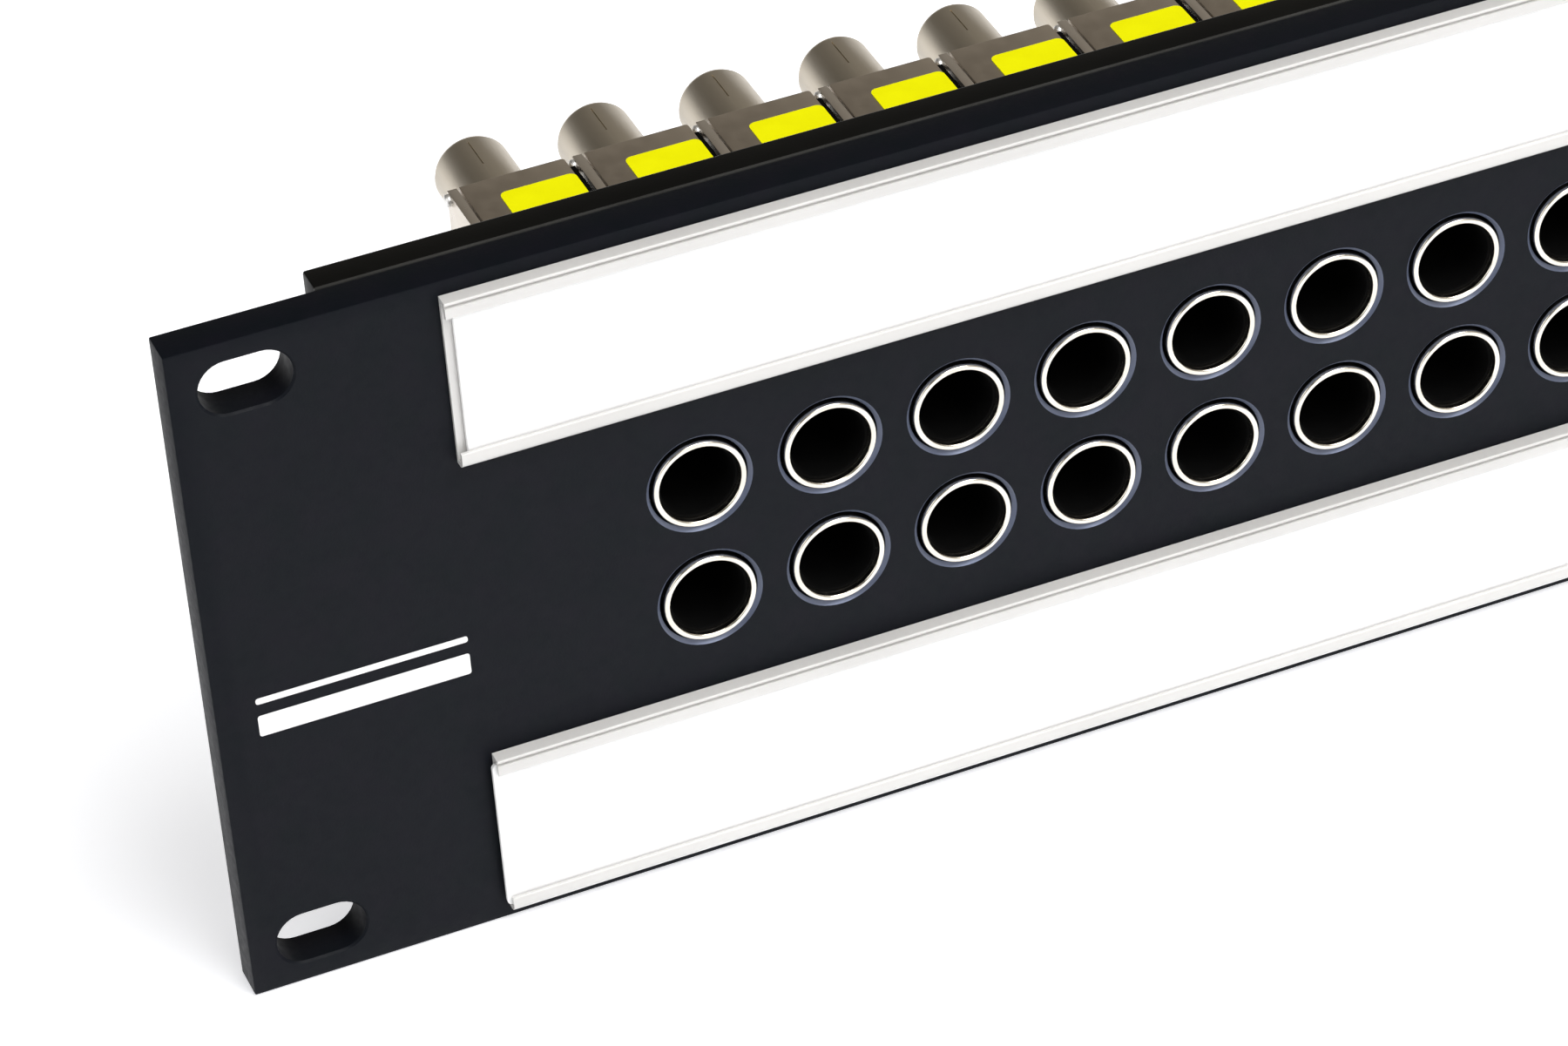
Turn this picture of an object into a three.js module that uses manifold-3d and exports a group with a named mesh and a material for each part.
// A 2U rack patch bay with 24 dual jacks in two rows of 24 ports.
// Millimetres. X runs along the panel, Y from front to rear, Z up.
// The origin is the middle of the panel's bottom edge: X centred, Y at mid thickness.
import * as THREE from 'three';
import { mergeVertices } from 'three/addons/utils/BufferGeometryUtils.js';
import Module from 'manifold-3d';

// Driving dimensions.
const PANEL_WIDTH = 482.6;
const PANEL_HEIGHT = 88.1;
const PANEL_THICKNESS = 4.76;
const COLUMNS = 24;
const PORT_PITCH = 15.875;           // between columns, and between the two rows
const PANEL_HOLE_RADIUS = 6.2;
const ROUND_SIDES = 12;
const FIT_GAP = 0.3;                 // between pieces that are cut to each other
const SEAT_GAP = 0.2;                // between pieces that are laid on each other
const CUT_PAST = 1;                  // how far a cut runs past the face that it opens
const JOIN_DEPTH = 0.5;              // how far a boss runs into the piece that it stands on
const WELD_DISTANCE = 1e-4;          // corners nearer than this are one corner

// Rack slots: EIA spacing, obround, long way along X.
const SLOT_SPACING_X = 465.1;
const SLOT_SPACING_Z = 76.2;
const SLOT_LENGTH = 10.8;
const SLOT_HEIGHT = 6.7;
const SLOT_CURVE_SIDES = 6;          // facets on each round end

// Frame plate behind the panel, with one window for all the jacks.
const FRAME_LENGTH = 445;
const FRAME_THICKNESS = 4.1;
const WINDOW_HEIGHT = 30;
const REBATE_HEIGHT = 33.2;
const REBATE_DEPTH = 2.3;
const SCREW_COLUMNS = [-205, 0, 205];
const SCREW_ROW_OFFSET = 32;         // above and below the middle of the panel
const SCREW_SHANK_RADIUS = 1.5;
const SCREW_HEAD_RADIUS = 2.8;
const SCREW_HEAD_HEIGHT = 1.9;
const SCREW_LENGTH = 7;
const RECESS_LENGTH = 3.2;
const RECESS_WIDTH = 0.8;
const RECESS_DEPTH = 1.1;

// Jack module: a die-cast housing with two front barrels and two rear barrels.
const HOUSING_WIDTH = 15.2;
const HOUSING_HEIGHT = 29.4;
const HOUSING_BACK = 60.5;           // from the panel's front face
const HOUSING_WALL = 1.4;
const END_WALL = 2.4;
const FLANGE_HEIGHT = 32.4;
const FLANGE_THICKNESS = 1.8;
const FRONT_BARREL_RADIUS = 5.745;
const FRONT_BORE_RADIUS = 4.913;
const FRONT_BARREL_PROUD = 0.3;
const REAR_BARREL_PITCH = 14.2875;
const REAR_BARREL_RADIUS = 4.83;
const REAR_BORE_RADIUS = 4.05;
const REAR_BARREL_END = 74.8;        // from the panel's front face
const REAR_BORE_DEPTH = 9;

// Switch bridge inside each housing: a plate with two pads that a plug pushes back.
const BRIDGE_FRONT = 30;             // from the panel's front face
const BRIDGE_WIDTH = 8.4;
const BRIDGE_HEIGHT = 24;
const BRIDGE_THICKNESS = 1.6;
const BRIDGE_STEM = 2.4;
const BRIDGE_STEM_LENGTH = 12;

// Designation strips: a clear channel on the panel's face and a card that slides in it.
const HOLDER_LENGTH = 420.6;
const HOLDER_HEIGHT = 22;
const HOLDER_OFFSET = 31.28;         // its middle, above and below the middle of the panel
const HOLDER_DEPTH = 1.9;
const HOLDER_WEB = 0.5;
const HOLDER_LIP = 2.1;
const HOLDER_LIP_THICKNESS = 0.45;
const HOLDER_SIDE = 0.6;
const HOLDER_SEAT_GAP = 0.1;
const CARD_LENGTH = 420;
const CARD_THICKNESS = 0.6;
const CARD_EDGE_GAP = 0.25;
const CARD_SHIFT = { upper: 0.7, lower: -0.8 };

// Levels worked out from the sizes above.
const FACE = -PANEL_THICKNESS / 2;
const REAR_FACE = PANEL_THICKNESS / 2;
const MIDDLE = PANEL_HEIGHT / 2;
const HOUSING_FRONT = REAR_FACE + SEAT_GAP;
const FRAME_FRONT = REAR_FACE + SEAT_GAP;
const FRAME_BACK = FRAME_FRONT + FRAME_THICKNESS;
const FIELD_HALF_WIDTH = COLUMNS * PORT_PITCH / 2 + FIT_GAP;
const SCREW_SEAT = FRAME_BACK + SEAT_GAP;
const SCREW_HOLE_RADIUS = SCREW_SHANK_RADIUS + FIT_GAP;
const SCREW_HOLE_FLOOR = SCREW_SEAT - SCREW_LENGTH - FIT_GAP;
const BARREL_TIP = FACE - FRONT_BARREL_PROUD;
const SOCKET_END = FACE + REAR_BARREL_END;

const wasm = await Module();
wasm.setup();

const finish = {
  blackAnodised: { color: 0x1b1e23, roughness: 0.55, metalness: 0.4 },
  blackPaint: { color: 0x131417, roughness: 0.6, metalness: 0.3 },
  nickel: { color: 0x9c9488, roughness: 0.35, metalness: 0.9 },
  springBrass: { color: 0xc2a14d, roughness: 0.3, metalness: 0.9 },
  clearPlastic: { color: 0xe6eaea, roughness: 0.15, metalness: 0.0 },
  whiteCard: { color: 0xf7f7f5, roughness: 0.7, metalness: 0.0 },
  zincSteel: { color: 0xb4b6b8, roughness: 0.4, metalness: 0.9 },
};

function toSolid(geometry) {
  const bare = geometry.index ? geometry.toNonIndexed() : geometry.clone();
  bare.deleteAttribute('normal');
  bare.deleteAttribute('uv');
  const merged = mergeVertices(bare, WELD_DISTANCE);
  return new wasm.Manifold(new wasm.Mesh({
    numProp: 3,
    vertProperties: new Float32Array(merged.attributes.position.array),
    triVerts: new Uint32Array(merged.index.array),
  }));
}

function toGeometry(solid) {
  const mesh = solid.getMesh();
  const geometry = new THREE.BufferGeometry();
  geometry.setAttribute('position', new THREE.BufferAttribute(mesh.vertProperties, 3));
  geometry.setIndex(new THREE.BufferAttribute(mesh.triVerts, 1));
  geometry.computeVertexNormals();
  return geometry;
}

// A box between two corners.
function block(low, high) {
  const size = high.map((value, axis) => value - low[axis]);
  const geometry = new THREE.BoxGeometry(...size);
  geometry.translate(...low.map((value, axis) => value + size[axis] / 2));
  return toSolid(geometry);
}

// A round bar along Y, with its flats facing straight up and sideways.
function roundAlongY(radius, front, back, x, z) {
  const geometry = new THREE.CylinderGeometry(radius, radius, back - front, ROUND_SIDES);
  geometry.rotateY(Math.PI / ROUND_SIDES);
  geometry.translate(0, (front + back) / 2, 0);
  geometry.translate(x, 0, z);
  return toSolid(geometry);
}

// An outline in the XZ plane, drawn out along Y between two levels.
function plate(shape, front, back, curveSegments) {
  const geometry = new THREE.ExtrudeGeometry(shape, {
    depth: back - front,
    bevelEnabled: false,
    curveSegments,
  });
  geometry.rotateX(Math.PI / 2);
  geometry.translate(0, back, 0);
  return toSolid(geometry);
}

function slotShape(x, z) {
  const radius = SLOT_HEIGHT / 2;
  const reach = (SLOT_LENGTH - SLOT_HEIGHT) / 2;
  const shape = new THREE.Shape();
  shape.absarc(x + reach, z, radius, -Math.PI / 2, Math.PI / 2, false);
  shape.absarc(x - reach, z, radius, Math.PI / 2, 1.5 * Math.PI, false);
  return shape;
}

function columnX(column) {
  return (column - (COLUMNS - 1) / 2) * PORT_PITCH;
}

function frontPanel() {
  let solid = block([-PANEL_WIDTH / 2, FACE, 0], [PANEL_WIDTH / 2, REAR_FACE, PANEL_HEIGHT]);
  for (const side of [-1, 1]) {
    for (const level of [-1, 1]) {
      const shape = slotShape(side * SLOT_SPACING_X / 2, MIDDLE + level * SLOT_SPACING_Z / 2);
      solid = solid.subtract(plate(shape, FACE - CUT_PAST, REAR_FACE + CUT_PAST, SLOT_CURVE_SIDES));
    }
  }
  for (let column = 0; column < COLUMNS; column++) {
    for (const row of [-1, 1]) {
      const x = columnX(column);
      const z = MIDDLE + row * PORT_PITCH / 2;
      solid = solid.subtract(roundAlongY(PANEL_HOLE_RADIUS, FACE - CUT_PAST, REAR_FACE + CUT_PAST, x, z));
    }
  }
  for (const x of SCREW_COLUMNS) {
    for (const row of [-1, 1]) {
      const z = MIDDLE + row * SCREW_ROW_OFFSET;
      solid = solid.subtract(roundAlongY(SCREW_HOLE_RADIUS, SCREW_HOLE_FLOOR, REAR_FACE + CUT_PAST, x, z));
    }
  }
  return solid;
}

function rearFrame() {
  const end = FRAME_LENGTH / 2;
  let solid = block([-end, FRAME_FRONT, 0], [end, FRAME_BACK, PANEL_HEIGHT]);
  const window = [WINDOW_HEIGHT / 2, FRAME_FRONT - CUT_PAST, FRAME_BACK + CUT_PAST];
  const rebate = [REBATE_HEIGHT / 2, FRAME_FRONT - CUT_PAST, FRAME_FRONT + REBATE_DEPTH];
  for (const [half, front, back] of [window, rebate]) {
    solid = solid.subtract(block(
      [-FIELD_HALF_WIDTH, front, MIDDLE - half],
      [FIELD_HALF_WIDTH, back, MIDDLE + half],
    ));
  }
  for (const x of SCREW_COLUMNS) {
    for (const row of [-1, 1]) {
      const z = MIDDLE + row * SCREW_ROW_OFFSET;
      solid = solid.subtract(roundAlongY(SCREW_HOLE_RADIUS, FRAME_FRONT - CUT_PAST, FRAME_BACK + CUT_PAST, x, z));
    }
  }
  return solid;
}

// Pan-head screw, put in from the rear.
function frameScrew() {
  const top = SCREW_SEAT + SCREW_HEAD_HEIGHT;
  const head = roundAlongY(SCREW_HEAD_RADIUS, SCREW_SEAT, top, 0, 0);
  const shank = roundAlongY(SCREW_SHANK_RADIUS, SCREW_SEAT - SCREW_LENGTH, SCREW_SEAT + JOIN_DEPTH, 0, 0);
  const recess = block(
    [-RECESS_LENGTH / 2, top - RECESS_DEPTH, -RECESS_WIDTH / 2],
    [RECESS_LENGTH / 2, top + CUT_PAST, RECESS_WIDTH / 2],
  );
  return head.add(shank).subtract(recess);
}

// The housing is made about the middle of its column, with Z measured from the middle.
function jackHousing() {
  const half = HOUSING_WIDTH / 2;
  const back = FACE + HOUSING_BACK;
  const cavity = HOUSING_HEIGHT / 2 - HOUSING_WALL;
  let solid = block([-half, HOUSING_FRONT, -HOUSING_HEIGHT / 2], [half, back, HOUSING_HEIGHT / 2]);
  solid = solid.add(block(
    [-half, HOUSING_FRONT, -FLANGE_HEIGHT / 2],
    [half, HOUSING_FRONT + FLANGE_THICKNESS, FLANGE_HEIGHT / 2],
  ));
  for (const row of [-1, 1]) {
    const frontZ = row * PORT_PITCH / 2;
    const rearZ = row * REAR_BARREL_PITCH / 2;
    solid = solid.add(roundAlongY(FRONT_BARREL_RADIUS, BARREL_TIP, HOUSING_FRONT + JOIN_DEPTH, 0, frontZ));
    solid = solid.add(roundAlongY(REAR_BARREL_RADIUS, back - JOIN_DEPTH, SOCKET_END, 0, rearZ));
  }
  solid = solid.subtract(block(
    [-half + HOUSING_WALL, HOUSING_FRONT + END_WALL, -cavity],
    [half - HOUSING_WALL, back - END_WALL, cavity],
  ));
  for (const row of [-1, 1]) {
    const frontZ = row * PORT_PITCH / 2;
    const rearZ = row * REAR_BARREL_PITCH / 2;
    const wallEnd = HOUSING_FRONT + END_WALL;
    solid = solid.subtract(roundAlongY(FRONT_BORE_RADIUS, BARREL_TIP - CUT_PAST, wallEnd + CUT_PAST, 0, frontZ));
    solid = solid.subtract(roundAlongY(REAR_BORE_RADIUS, SOCKET_END - REAR_BORE_DEPTH, SOCKET_END + CUT_PAST, 0, rearZ));
  }
  return solid;
}

// The bridge plate has a stem behind it that carries its return spring.
function switchBridge() {
  const front = FACE + BRIDGE_FRONT;
  const stem = BRIDGE_STEM / 2;
  const width = BRIDGE_WIDTH / 2;
  const height = BRIDGE_HEIGHT / 2;
  const body = block([-width, front, -height], [width, front + BRIDGE_THICKNESS, height]);
  return body.add(block([-stem, front + JOIN_DEPTH, -stem], [stem, front + BRIDGE_STEM_LENGTH, stem]));
}

// The section is drawn with Y to the right and Z up, and runs along X.
function alongX(points, length) {
  const shape = new THREE.Shape(points.map(([y, z]) => new THREE.Vector2(y, z)));
  const geometry = new THREE.ExtrudeGeometry(shape, { depth: length, bevelEnabled: false });
  geometry.rotateX(Math.PI / 2);
  geometry.rotateZ(Math.PI / 2);
  geometry.translate(-length / 2, 0, 0);
  return toSolid(geometry);
}

function stripHolder() {
  const back = FACE - HOLDER_SEAT_GAP;
  const front = back - HOLDER_DEPTH;
  const half = HOLDER_HEIGHT / 2;
  const inner = half - HOLDER_SIDE;
  const lip = half - HOLDER_LIP;
  const web = back - HOLDER_WEB;
  const lipBack = front + HOLDER_LIP_THICKNESS;
  return alongX([
    [back, -half], [back, half], [front, half], [front, lip], [lipBack, lip], [lipBack, inner],
    [web, inner], [web, -inner], [lipBack, -inner], [lipBack, -lip], [front, -lip], [front, -half],
  ], HOLDER_LENGTH);
}

function stripCard() {
  const lipBack = FACE - HOLDER_SEAT_GAP - HOLDER_DEPTH + HOLDER_LIP_THICKNESS;
  const web = FACE - HOLDER_SEAT_GAP - HOLDER_WEB;
  const middle = (lipBack + web) / 2;
  const half = HOLDER_HEIGHT / 2 - HOLDER_SIDE - CARD_EDGE_GAP;
  return block(
    [-CARD_LENGTH / 2, middle - CARD_THICKNESS / 2, -half],
    [CARD_LENGTH / 2, middle + CARD_THICKNESS / 2, half],
  );
}

function named(name, geometry, look, x = 0, z = 0) {
  const mesh = new THREE.Mesh(geometry, new THREE.MeshStandardMaterial(finish[look]));
  mesh.name = name;
  mesh.position.set(x, 0, z);
  return mesh;
}

const patchBay = new THREE.Group();
patchBay.add(named('front_panel', toGeometry(frontPanel()), 'blackAnodised'));
patchBay.add(named('rear_frame', toGeometry(rearFrame()), 'blackPaint'));

const screwGeometry = toGeometry(frameScrew());
SCREW_COLUMNS.forEach((x, column) => {
  for (const [row, side] of [['upper', 1], ['lower', -1]]) {
    const z = MIDDLE + side * SCREW_ROW_OFFSET;
    patchBay.add(named(`frame_screw_${row}_${column + 1}`, screwGeometry, 'zincSteel', x, z));
  }
});

const holderGeometry = toGeometry(stripHolder());
const cardGeometry = toGeometry(stripCard());
for (const [row, side] of [['upper', 1], ['lower', -1]]) {
  const z = MIDDLE + side * HOLDER_OFFSET;
  patchBay.add(named(`${row}_strip_holder`, holderGeometry, 'clearPlastic', 0, z));
  patchBay.add(named(`${row}_designation_card`, cardGeometry, 'whiteCard', CARD_SHIFT[row], z));
}

const housingGeometry = toGeometry(jackHousing());
const bridgeGeometry = toGeometry(switchBridge());
for (let column = 0; column < COLUMNS; column++) {
  const label = String(column + 1).padStart(2, '0');
  patchBay.add(named(`jack_housing_${label}`, housingGeometry, 'nickel', columnX(column), MIDDLE));
  patchBay.add(named(`switch_bridge_${label}`, bridgeGeometry, 'springBrass', columnX(column), MIDDLE));
}

export default patchBay;
